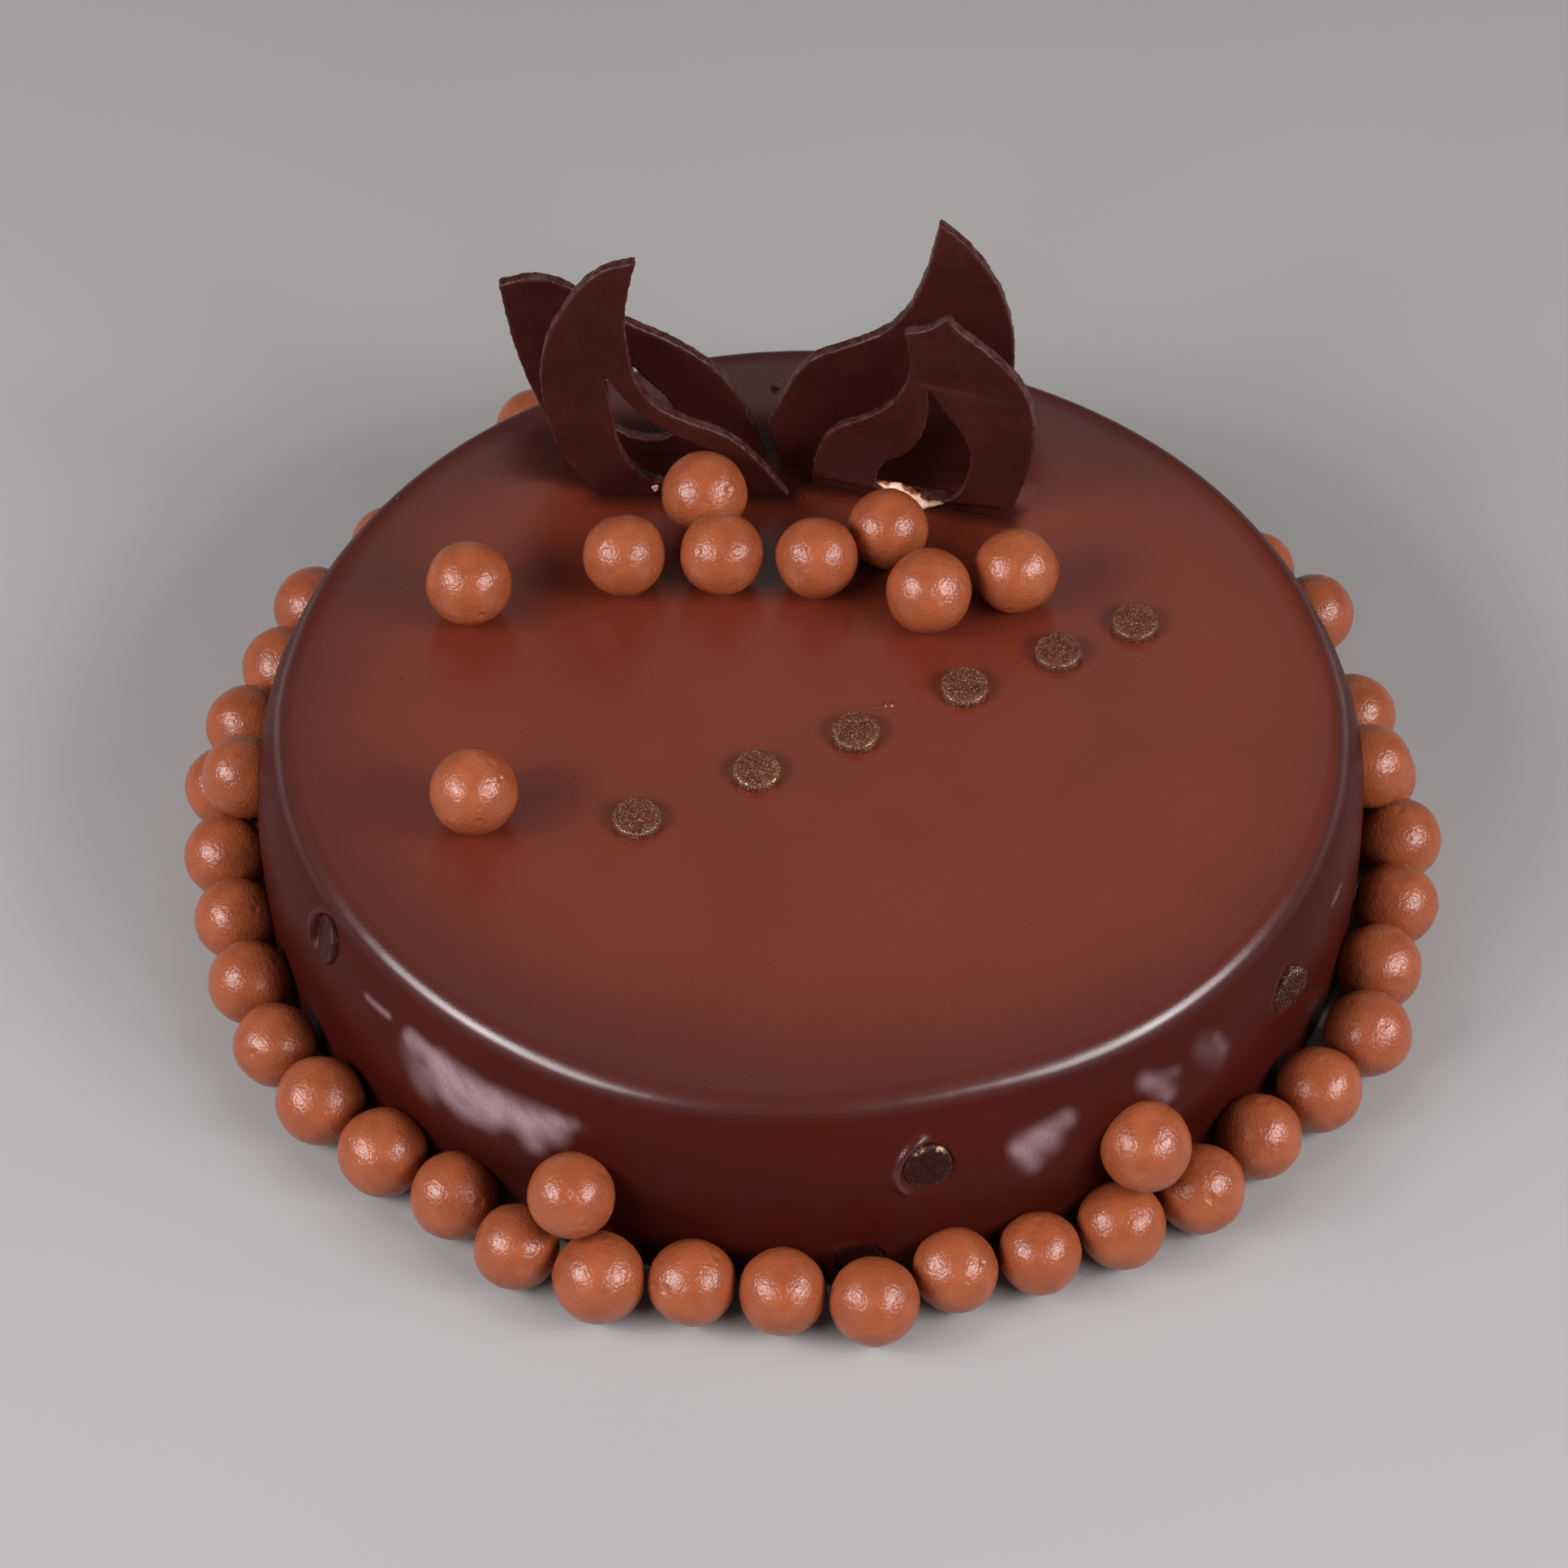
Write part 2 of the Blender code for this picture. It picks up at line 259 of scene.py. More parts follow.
# The discs in the wall are darker than those on the top: painted shade
WALL_DISC_SHADED = ((0.018, 0.0026, 0.0019), (0.030, 0.0052, 0.0040))
# Painted glint on the edges of the discs in the wall
WALL_DISC_GLINT = (0.90, 0.66, 0.40)
GOLD = (0.85, 0.50, 0.26)
FILLING = ((0.80, 0.62, 0.47), (0.72, 0.46, 0.30))
FILLING_SMEAR = ((0.50, 0.17, 0.06), (0.14, 0.04, 0.02))
FLOOR = ((0.345, 0.34, 0.335), (0.365, 0.36, 0.355))

# Painted shade: below this height the wall's darker colour takes over from the top's
TOP_COLOUR_FROM = 37.4  # the height where the wall's colour starts to give way to the top's
COLOUR_SOCKETS = (6, 7)  # those of a mix node that takes colours
COLOUR_RESULT = 2


class Finish:
    """A material on one Principled shader, with short calls for its textures."""

    def __init__(self, name):
        self.material = bpy.data.materials.new(name)
        self.material.use_nodes = True
        self.nodes = self.material.node_tree.nodes
        self.links = self.material.node_tree.links
        self.shader = self.nodes["Principled BSDF"]
        self.place = self.nodes.new("ShaderNodeTexCoord").outputs["Object"]

    def set(self, **values):
        """Sets the shader's sockets that are the same all over."""
        for name, value in values.items():
            self.shader.inputs[name.replace("_", " ")].default_value = value

    def use(self, name, output):
        """Lets an output drive one of the shader's sockets."""
        self.links.new(output, self.shader.inputs[name])

    def noise(self, size, detail):
        """A noise whose lumps are about this many millimetres across."""
        node = self.nodes.new("ShaderNodeTexNoise")
        node.inputs["Scale"].default_value = 1 / (size * MM)
        node.inputs["Detail"].default_value = detail
        node.inputs["Roughness"].default_value = 0.5
        self.links.new(self.place, node.inputs["Vector"])
        return node.outputs["Fac"]

    def height(self):
        """Height over the floor in metres."""
        node = self.nodes.new("ShaderNodeSeparateXYZ")
        self.links.new(self.place, node.inputs[0])
        return node.outputs["Z"]

    def stretch(self, value, low, high, to_low=0.0, to_high=1.0):
        """Maps one range of a value to another, and keeps it inside that."""
        node = self.nodes.new("ShaderNodeMapRange")
        self.links.new(value, node.inputs["Value"])
        names = ("From Min", "From Max", "To Min", "To Max")
        for name, number in zip(names, (low, high, to_low, to_high)):
            node.inputs[name].default_value = number
        return node.outputs["Result"]

    def patches(self, size, detail, low=0.35, high=0.65):
        """Patches from 0 to 1, which are the harder the closer the two limits are."""
        return self.stretch(self.noise(size, detail), low, high)

    def rough(self, size, detail, low, high):
        """Roughness between two values, in patches."""
        self.use("Roughness", self.stretch(self.noise(size, detail), 0.3, 0.7, low, high))

    def mark(self, name):
        """A value stored on the mesh's points."""
        node = self.nodes.new("ShaderNodeAttribute")
        node.attribute_name = name
        return node.outputs["Fac"]

    def mix(self, share, one, other):
        """A colour between two, each a colour or an output."""
        node = self.nodes.new("ShaderNodeMix")
        node.data_type = "RGBA"
        self.links.new(share, node.inputs["Factor"])
        for index, colour in zip(COLOUR_SOCKETS, (one, other)):
            if isinstance(colour, tuple):
                node.inputs[index].default_value = (*colour, 1.0)
            else:
                self.links.new(colour, node.inputs[index])
        return node.outputs[COLOUR_RESULT]

    def times(self, one, other):
        """The product of two values, each a number or an output."""
        node = self.nodes.new("ShaderNodeMath")
        node.operation = "MULTIPLY"
        for socket, value in zip(node.inputs, (one, other)):
            if isinstance(value, (int, float)):
                socket.default_value = value
            else:
                self.links.new(value, socket)
        return node.outputs[0]

    def bumps(self, *layers):
        """Adds bump layers, each a height and how deep in millimetres it is."""
        normal = None
        for value, deep in layers:
            node = self.nodes.new("ShaderNodeBump")
            node.inputs["Distance"].default_value = deep * MM
            self.links.new(value, node.inputs["Height"])
            if normal:
                self.links.new(normal, node.inputs["Normal"])
            normal = node.outputs["Normal"]
        self.use("Normal", normal)
        self.use("Coat Normal", normal)


def glaze_finish():
    """Poured chocolate glaze: warm brown on the top, with painted shade that darkens it towards the rim, on
    the wall and round the shards' feet, and a pale, grainy painted sheen in patches on the wall. Its gloss
    is a coat, thin on the rest of the wall."""
    finish = Finish("chocolate_glaze")
    finish.set(Specular_IOR_Level=0.07, Coat_Roughness=0.25)
    cloud = finish.patches(38, 2)
    # painted shade darkens the top towards the rim
    top = finish.mix(finish.mark("outer"), finish.mix(cloud, *GLAZE_TOP), GLAZE_RIM_SHADE)
    # painted shade: the wall is darker than the top
    raised = finish.stretch(finish.height(), TOP_COLOUR_FROM * MM, HEIGHT * MM)
    colour = finish.mix(raised, finish.mix(cloud, *GLAZE_WALL_SHADED), top)
    # painted shade round the shards' feet
    colour = finish.mix(finish.mark("shaded"), colour, GLAZE_PAINTED_SHADE)
    # painted sheen: pale and grainy in the patches on the wall
    grainy = finish.stretch(finish.noise(0.45, 3), 0.30, 0.66, 0.78, 1.0)
    colour = finish.mix(finish.times(finish.mark("run"), grainy), colour, GLAZE_PAINTED_SHEEN)
    finish.use("Base Color", colour)
    finish.use("Coat Weight", finish.mark("gloss"))
    finish.rough(9, 3, 0.38, 0.48)
    grain = finish.times(finish.noise(0.35, 2), finish.stretch(raised, 0.50, 0.75, 0.15, 1.0))
    ripple = finish.times(finish.noise(0.8, 3), finish.mark("run"))
    finish.bumps((finish.noise(2.2, 2), 0.012), (grain, 0.045), (ripple, 0.10))
    return finish.material


def ball_finish():
    """Milk chocolate, satin, with a fine uneven skin."""
    finish = Finish("milk_chocolate")
    finish.set(Specular_IOR_Level=0.50, Subsurface_Weight=0.05, Subsurface_Scale=0.0012)
    finish.use("Base Color", finish.mix(finish.patches(4.5, 3), *MILK_CHOCOLATE))
    finish.rough(1.6, 3, 0.22, 0.32)
    finish.bumps((finish.noise(1.4, 2), 0.07), (finish.noise(0.55, 2), 0.14))
    return finish.material


def shard_finish():
    """Dark chocolate: smooth, faintly cloudy faces, and lighter, crumbly cut edges."""
    finish = Finish("dark_chocolate")
    finish.set(Specular_IOR_Level=0.25)
    face = finish.mix(finish.patches(11, 3), *SHARD_FACE)
    edge = finish.times(finish.mark("edge"), finish.patches(1.6, 5, 0.38, 0.75))
    finish.use("Base Color", finish.mix(edge, face, SHARD_EDGE))
    finish.rough(2.5, 3, 0.32, 0.48)
    finish.bumps((finish.noise(3.5, 3), 0.05), (finish.noise(0.5, 3), 0.03))
    return finish.material


def disc_finish(name, colours, painted_glint, specular):
    """Chocolate under specks of gold dust, as many as the dust mark says, with a painted glint where the
    edge mark is.
    """
    finish = Finish(name)
    finish.set(Specular_IOR_Level=specular)
    # painted glint where the edge mark is
    glint_share = finish.times(finish.mark("edge"), finish.patches(0.7, 2, 0.42, 0.62))
    chocolate = finish.mix(glint_share, finish.mix(finish.patches(1.3, 3), *colours), painted_glint)
    dust = finish.times(finish.patches(0.23, 1, 0.61, 0.67), finish.mark("dust"))
    finish.use("Base Color", finish.mix(dust, chocolate, GOLD))
    finish.use("Metallic", finish.times(dust, 0.8))
    finish.rough(1.0, 2, 0.34, 0.48)
    finish.bumps((finish.noise(0.3, 2), 0.03))
    return finish.material


def filling_finish():
    """Pale filling, smeared with chocolate where the mark says."""
    finish = Finish("pale_filling")
    finish.set(Specular_IOR_Level=0.35, Subsurface_Weight=0.1, Subsurface_Scale=0.001)
    pale = finish.mix(finish.patches(1.2, 3, 0.4, 0.6), *FILLING)
    smear = finish.mix(finish.patches(0.9, 3), *FILLING_SMEAR)
    finish.use("Base Color", finish.mix(finish.mark("smear"), pale, smear))
    finish.rough(0.7, 2, 0.4, 0.6)
    finish.bumps((finish.noise(0.6, 3), 0.06))
    return finish.material


def floor_finish():
    """A pale, matt table top."""
    finish = Finish("pale_floor")
    finish.set(Roughness=0.85, Specular_IOR_Level=0.1)
    finish.use("Base Color", finish.mix(finish.patches(260, 2, 0.3, 0.7), *FLOOR))
    finish.bumps((finish.noise(3, 2), 0.01))
    return finish.material


# ---------------------------------------------------------------- glaze

# Rings of points from the middle of the top to the foot, and the turns of the points in a ring
TOP_RINGS = 44
RIM_RINGS = 14
WALL_RINGS = 70  # where the wall shows
LOW_RINGS = 5  # behind the balls, below the low height
LOW_HEIGHT = 8.0
FOOT_RINGS = 5
COLUMN_STEP = 0.8
FINE_SPANS = (  # from turn to turn, and the step between the points there
    *((218.0, 248.0, 0.5), (286.0, 318.0, 0.5)),
    *((206.5, 215.5, 0.25), (277.0, 286.0, 0.25), (321.7, 330.7, 0.25)),
)

# Unevenness: how fine it is round the axis, on the wall how tall its waves are, where in the noise it
# starts, and how deep it is. The wall's gives way to the rim's over a height.
WALL_WAVES = ((4.2, 22.0, 0.0, 0.35), (13.0, 9.0, 5.0, 0.10))
RIM_WAVES = ((4.0, 3.1, 0.10), (24.0, 7.7, 0.03))
RIM_TALL = 6.0

# The hollow of a disc in the wall, and the lip of glaze beside it
HOLLOW_DEEPER = 0.6  # how far it reaches under the disc's face
HOLLOW_EDGE = (-0.4, 0.3)  # how far inside the disc's edge it starts, and is at its deepest
LIP_WAY = (-0.94, 0.34)  # from the disc to the lip's middle, across and up
LIP_SPREAD = (0.1, 0.8)  # cosines of the angle to that way at which it starts, and is at its highest
LIP_AWAY = 0.95  # from the disc's edge to its crest
LIP_REACH = 0.65

# The painted shade round the shards' feet, and the glaze's lip there
PAINTED_SHADE_DEPTH = 0.9
FOOT_SHADE = 4.0
BACK_SHADE = 12.0  # how much further the painted shade reaches behind the front shards
BACK_SHADE_FROM = (50.0, 55.0)  # where that starts, and is in full
FOOT_LIP = 0.3
FOOT_LIP_REACH = 1.2
FINE_REACH = 3.5  # how near a shard the top's faces are made finer
FINE_CUTS = 2

# Painted shade darkens the top outside an oval round a middle that lies a little to the right
OVAL_MIDDLE = 5.0
OVAL_WIDTH = 0.88
OVAL_SPAN = (58.0, 92.0)

# Gloss, from 0 to 1, and what lowers it
WALL_GLOSS = 0.05
GLOSSY_FROM = (35.8, 37.6)  # the heights over which the wall's gloss gives way to the rim's
LIP_HEIGHT = 0.5  # at which a lip is at its glossiest
SHADE_DULL = 0.9
SHADE_DULL_RISE = 1.7  # how much faster this grows than the painted shade
BACK_RIM_DULL = 0.75
RIM_SPAN = (85.0, 88.0)  # radii over which the rim starts
BACK_SPAN = (-10.0, 30.0)  # places along Y over which the back does


def wall_at(rim, height):
    """Radius and inward slope of the turned wall at a height."""
    shoulder, power, _ = rim
    turn_in = shoulder * power / math.tan(WALL_LEAN)  # height over which the wall turns in
    share = height / turn_in
    return FOOT_RADIUS - shoulder * share**power, shoulder * power / turn_in * share ** (power - 1)


def glaze_profile(rim):
    """Radius, height and outward direction at each ring, from the middle of the top down to the foot."""
    edge_round = rim[2]
    wall_top = HEIGHT - edge_round * (1 - math.sin(WALL_LEAN))
    centre = wall_at(rim, wall_top)[0] - edge_round * math.cos(WALL_LEAN)
    rings = []
    for step in range(1, TOP_RINGS):
        rings.append((centre * step / TOP_RINGS, HEIGHT, 0.0, 1.0))
    for step in range(RIM_RINGS + 1):
        turn = math.radians(90) + (WALL_LEAN - math.radians(90)) * step / RIM_RINGS
        out, up = math.cos(turn), math.sin(turn)
        rings.append((centre + edge_round * out, HEIGHT - edge_round * (1 - up), out, up))
    heights = np.linspace(wall_top, LOW_HEIGHT, WALL_RINGS + 1)[1:]
    for height in [*heights, *np.linspace(LOW_HEIGHT, FOOT_ROUND, LOW_RINGS + 1)[1:]]:
        radius, slope = wall_at(rim, height)
        length = math.hypot(1, slope)
        rings.append((radius, height, 1 / length, slope / length))
    for step in range(1, FOOT_RINGS + 1):
        turn = math.radians(-90 * step / FOOT_RINGS)
        out, up = math.cos(turn), math.sin(turn)
        foot = FOOT_RADIUS - FOOT_ROUND
        rings.append((foot + FOOT_ROUND * out, FOOT_ROUND + FOOT_ROUND * up, out, up))
    return np.array(rings)


def turned_by(turn, other):
    """Degrees from one turn to another, the short way."""
    return (turn - other + 180) % 360 - 180


def soft_spot(turn):
    return bell(turned_by(turn, SOFT_SPOT) / SOFT_SPOT_REACH)


def crispness(turn):
    """How crisp the rim is at a turn, from the soft rim's 0 to the crisp one's 1."""
    front = ramp(math.sin(math.radians(turn)), *CRISP_SINES)
    return FRONT_CRISPNESS * (1 - soft_spot(turn)) * front


def pulled_in(turn, radius, height):
    """How far in the glaze lies at the soft spot, which ends well inside the top and down the wall."""
    reach = ramp(radius, *SOFT_SPOT_RADII) * ramp(height, *SOFT_SPOT_HEIGHTS)
    return SOFT_SPOT_IN * soft_spot(turn) * reach


def wall_radius(turn, height):
    """Radius of the wall without its relief."""
    soft, crisp = wall_at(SOFT_RIM, height)[0], wall_at(CRISP_RIM, height)[0]
    radius = soft + (crisp - soft) * crispness(turn)
    return radius - pulled_in(turn, radius, height)


def round_wall(turn, other):
    """Millimetres round the foot of the wall from one turn to another."""
    return math.radians(turned_by(turn, other)) * FOOT_RADIUS


def disc_relief(turn, height):
    """How deep the hollow of a disc in the wall is at a place, and how high the lip of glaze beside it."""
    hollow, raised = 0.0, 0.0
    for at, up, lean, swing, sunk, lip, *_ in WALL_DISCS:
        across = round_wall(turn, at)
        rise = height - up
        away = math.hypot(across, rise)
        if away < 4 * DISC_RADIUS:
            side = (LIP_WAY[0] * across + LIP_WAY[1] * rise) / max(away, 0.1)
            crest = bell((away - DISC_RADIUS - LIP_AWAY) / LIP_REACH)
            raised += lip * ramp(side, *LIP_SPREAD) * crest
            face = sunk + rise * math.tan(math.radians(lean)) + across * math.tan(math.radians(swing))
            hollow += max(face + HOLLOW_DEEPER, 0.0) * ramp(DISC_RADIUS - away, *HOLLOW_EDGE)
    return hollow, raised


def run_strength(turn, height):
    """How far a place on the wall lies in a glossier patch of painted sheen, from 0 to 1. Patches are
    streaky, with soft edges.
    """
    left_out = 1.0
    for turn_a, up_a, turn_b, up_b, half, strong in PAINTED_SHEEN_PATCHES:
        along = Vector((round_wall(turn_b, turn_a), up_b - up_a))
        here = Vector((round_wall(turn, turn_a), height - up_a))
        if here.length > along.length + SHEEN_FADE * half:
            continue
        share = min(max(here.dot(along) / along.length_squared, 0.0), 1.0)
        away = (here - along * share).length
        left_out *= 1 - strong * smooth(1 - away / (SHEEN_FADE * half))
    if left_out == 1.0:
        return 0.0
    across = math.radians(turn) * FOOT_RADIUS
    cosine, sine = STREAK_SLANT
    along = (cosine * across - sine * height) / STREAK_SIZE[0]
    aside = (sine * across + cosine * height) / STREAK_SIZE[1]
    streak = Vector((along, aside, 3.0))
    weaker = SHEEN_STREAKS * smooth(0.35 + 1.6 * noise.noise(streak) + 0.5 * noise.noise(streak * 2.7))
    return (1 - left_out) * (1 - weaker)


def ring_noise(turn, fineness, level):
    """A noise along a ring, which meets itself after a whole turn."""
    angle = math.radians(turn)
    return noise.noise(Vector((math.cos(angle) * fineness, math.sin(angle) * fineness, level)))


def wall_relief(turn, height, run):
    """How far the glaze stands out from the turned wall."""
    relief = 0.0
    for at, up, reach_round, reach_up, out in SWELLINGS:
        relief += out * bell(turned_by(turn, at) / reach_round) * bell((height - up) / reach_up)
    for fineness, tall, start, deep in WALL_WAVES:
        relief += deep * ring_noise(turn, fineness, height / tall + start)
    ripple = Vector((turn / 5.0 + height / 9.0, height / 1.3 + turn / 6.0, 8.0))
    relief += RUN_RIPPLE * run * noise.noise(ripple)
    hold = ramp(height, RIM_LOW, RIM_LOW - RIM_TALL) * smooth(height / LOW_HEIGHT)
    hollow, raised = disc_relief(turn, height)
    return relief * hold - hollow + raised


def rim_relief(turn, height):
    """The rim is a little uneven all the way round."""
    uneven = sum(deep * ring_noise(turn, fineness, start) for fineness, start, deep in RIM_WAVES)
    return ramp(height, RIM_LOW - RIM_TALL, RIM_LOW) * uneven


def glaze_columns():
    """Turns of the points in a ring, closer together where the wall has fine relief."""
    turns = list(np.arange(0, 360, COLUMN_STEP))
    for start, end, step in FINE_SPANS:
        turns = [turn for turn in turns if not start <= turn <= end]
        turns += list(np.arange(start, end, step))
    turns = sorted(set(turns))
    return turns[: len(turns) // 2 * 2]


def shard_tree():
    """All the shards in one tree, to find how near a point is to them."""
    sheet = bmesh.new()
    for node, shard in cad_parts.items():
        if node.startswith("shard_"):
            sheet.from_mesh(shard.data)
    tree = BVHTree.FromBMesh(sheet)
    sheet.free()
    return tree


def make_finer(sheet, tree):
    """Splits the top's faces near the shards' feet."""
    flat = [vert for vert in sheet.verts if vert.co.z > TOP_FROM * MM]
    near = {vert for vert in flat if tree.find_nearest(vert.co, FINE_REACH * MM)[0]}
    edges = [edge for edge in sheet.edges if edge.verts[0] in near and edge.verts[1] in near]
    bmesh.ops.subdivide_edges(sheet, edges=edges, cuts=FINE_CUTS, use_grid_fill=True)


def glaze_point(turn, soft, crisp):
    """A point of the glaze, from the soft rim's ring and the crisp rim's."""
    radius, height, out, up = soft + (crisp - soft) * crispness(turn)
    relief = 0.0
    if out > 0:
        run = run_strength(turn, height)
        relief = wall_relief(turn, height, run) + rim_relief(turn, height)
        relief *= smooth(height / FOOT_ROUND)
    reach = radius + relief * out - pulled_in(turn, radius, height)
    angle = math.radians(turn)
    return reach * math.cos(angle), reach * math.sin(angle), height + relief * up


def band_faces(inner, outer):
    """Faces between two rings of point numbers. The outer has as many as the inner, or twice as many."""
    faces = []
    step = len(outer) // len(inner)
    for column, point in enumerate(inner):
        along = [outer[(step * column + more) % len(outer)] for more in range(step + 1)]
        faces.append((point, *along, inner[(column + 1) % len(inner)]))
    return faces


def glaze_mesh():
    """The glaze as rings of points. The top's inner rings have half as many, and a hub closes each end."""
    turns = glaze_columns()
    points, faces, rings = [], [], []
    for index, (soft, crisp) in enumerate(zip(glaze_profile(SOFT_RIM), glaze_profile(CRISP_RIM))):
        every = 2 if index < TOP_RINGS - 2 else 1
        ring = [glaze_point(turn, soft, crisp) for turn in turns[::every]]
        rings.append(range(len(points), len(points) + len(ring)))
        points += ring
    for inner, outer in zip(rings, rings[1:]):
        faces += band_faces(inner, outer)
    middle, under = len(points), len(points) + 1
    points += [(0, 0, HEIGHT), (0, 0, 0)]
    first, last = rings[0], rings[-1]
    faces += [(middle, here, first[(at + 1) % len(first)]) for at, here in enumerate(first)]
    faces += [(under, last[(at + 1) % len(last)], here) for at, here in enumerate(last)]
    return mesh_of("glaze", points, faces)


def shade_foot(vert, tree):
    """Raises the glaze a little where the top meets a shard, and says how much shade is painted there, from
    0 to 1.
    """
    reach = FOOT_SHADE + BACK_SHADE * ramp(vert.co.y / MM, *BACK_SHADE_FROM)
    away = tree.find_nearest(vert.co, reach * MM)[3]
    away = reach if away is None else away / MM
    vert.co.z += FOOT_LIP * bell(away / FOOT_LIP_REACH) * MM
    return 1 - smooth(away / reach)


def gloss_at(x, y, height, turn, run, painted_shade):
    """Full gloss on the top and the rim, and on the wall only in the patches of painted sheen and on the
    lips beside the discs.
    The back of the rim and the painted shade round the shards' feet are duller."""
    lip = min(disc_relief(turn, height)[1] / LIP_HEIGHT, 1.0)
    gloss = WALL_GLOSS + (1 - WALL_GLOSS) * max(ramp(height, *GLOSSY_FROM), run, lip)
    gloss *= 1 - SHADE_DULL * smooth(SHADE_DULL_RISE * painted_shade)
    back_rim = ramp(math.hypot(x, y), *RIM_SPAN) * ramp(y, *BACK_SPAN)
    return gloss * (1 - BACK_RIM_DULL * back_rim)


def make_glaze(finish):
    mesh = glaze_mesh()
    tree = shard_tree()
    sheet = bmesh.new()
    sheet.from_mesh(mesh)
    make_finer(sheet, tree)
    marks = {"shaded": [], "outer": [], "gloss": [], "run": []}
    for vert in sheet.verts:
        x, y, height = vert.co / MM
        turn = math.degrees(math.atan2(y, x)) % 360
        run = run_strength(turn, height)
        painted_shade = shade_foot(vert, tree) if height > TOP_FROM else 0.0
        # painted shade round the shards' feet
        marks["shaded"].append(PAINTED_SHADE_DEPTH * painted_shade)
        # painted shade towards the rim of the top
        marks["outer"].append(ramp(math.hypot(OVAL_WIDTH * (x - OVAL_MIDDLE), y), *OVAL_SPAN))
        marks["gloss"].append(gloss_at(x, y, height, turn, run, painted_shade))
        # painted sheen in the patches on the wall
        marks["run"].append(run)
    sheet.to_mesh(mesh)
    sheet.free()
    for name, values in marks.items():
        store(mesh, name, values)
    new_piece("glazed_cake", mesh, finish, ["cake"])


# ---------------------------------------------------------------- malt balls

BALL_FINENESS = 5
NEAR_FINENESS = 6  # for balls on the top and at the front
NEAR_FRONT = -80.0
BALL_LUMPS = ((6.0, 0.22), (1.5, 0.05))  # size and height
BALL_SPARE = 0.1  # how much smaller the ball is without its lumps
DENTS = (4, 8)  # the least and the most on a ball
DENT_WIDTH = (0.06, 0.13)  # as angles
DENT_DEPTHS = (0.20, 0.14, -0.10)  # the last of them is a pimple
DENT_RING = (0.35, 1.4, 0.45)  # raised share of the depth, and how far out and how wide in dent widths


def ball_of(node):
    """Centre and radius of a ball in the frame."""
    points = np.array([vert.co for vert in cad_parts[node].data.vertices]) / MM
    centre = (points.min(0) + points.max(0)) / 2
    radius = np.linalg.norm(points - centre, axis=1).max()
    return Vector(centre), radius


def pressed_in(node, centre):
    """A ball's centre after it is moved down on the top, or inwards at the foot, to touch the glaze."""
    if "_top_" in node:
        return centre - Vector((0, 0, PRESSED))
    inward = Vector((-centre.x, -centre.y, 0)).normalized()
    return centre + inward * PRESSED


def dents_of(chance):
    """A few small pits and pimples: direction, width, and depth, which is below 0 for a pimple."""
    dents = []
    for _ in range(chance.randint(*DENTS)):
        way = Vector([chance.gauss(0, 1) for _ in range(3)]).normalized()
        dents.append((way, chance.uniform(*DENT_WIDTH), chance.choice(DENT_DEPTHS)))
    return dents


def dent_depth(way, dents):
    """How deep a ball is dented in a direction. Each dent has a low ring round it."""
    share, ring, width_of_ring = DENT_RING
    depth = 0.0
    for at, width, deep in dents:
        away = (at - way).length / width
        if away < 3:
            depth += deep * (bell(away) - share * bell((away - ring) / width_of_ring))
    return depth


def make_ball(node, chance, finish):
    centre, radius = ball_of(node)
    centre = pressed_in(node, centre)
    near = "_top_" in node or centre.y < NEAR_FRONT
    sheet = bmesh.new()
    bmesh.ops.create_icosphere(sheet, subdivisions=NEAR_FINENESS if near else BALL_FINENESS, radius=1.0)
    dents = dents_of(chance)
    for vert in sheet.verts:
        way = vert.co.normalized()
        here = centre + way * radius
        reach = radius - BALL_SPARE
        for size, height in BALL_LUMPS:
            reach += height * noise.noise(here / size)
        vert.co = (centre + way * (reach - dent_depth(way, dents))) * MM
    new_piece("malt_" + node, mesh_from(sheet, node), finish, [node])


# ---------------------------------------------------------------- shards

SHARD_VOXEL = 0.34
SHARD_SMOOTHING = 4
SHARD_KEPT = 0.4  # share of the faces that is kept, most of them at the edges
FLAT_FROM = 0.8  # a normal that points more than this to the front or back belongs to a flat face
EDGE_FROM = 0.55  # up to this cosine between a normal and the flat face's, a point lies on the edge
EDGE_FADE = 0.4  # how much larger the cosine is where the edge ends
EDGE_ROUGH = 0.16
EDGE_GRAINS = ((1.6, 1.0), (0.7, 0.6))  # size and strength
FACE_WAVE = 0.12
FACE_WAVE_SIZE = 9.0


def evaluated(mesh, name, kind, **settings):
    """A mesh after one modifier."""
    rough = bpy.data.objects.new(name, mesh)
    bpy.context.scene.collection.objects.link(rough)
    modifier = rough.modifiers.new(name, kind)
    for setting, value in settings.items():
        setattr(modifier, setting, value)
    graph = bpy.context.evaluated_depsgraph_get()
    made = bpy.data.meshes.new_from_object(rough.evaluated_get(graph))
    bpy.data.objects.remove(rough)
    return made


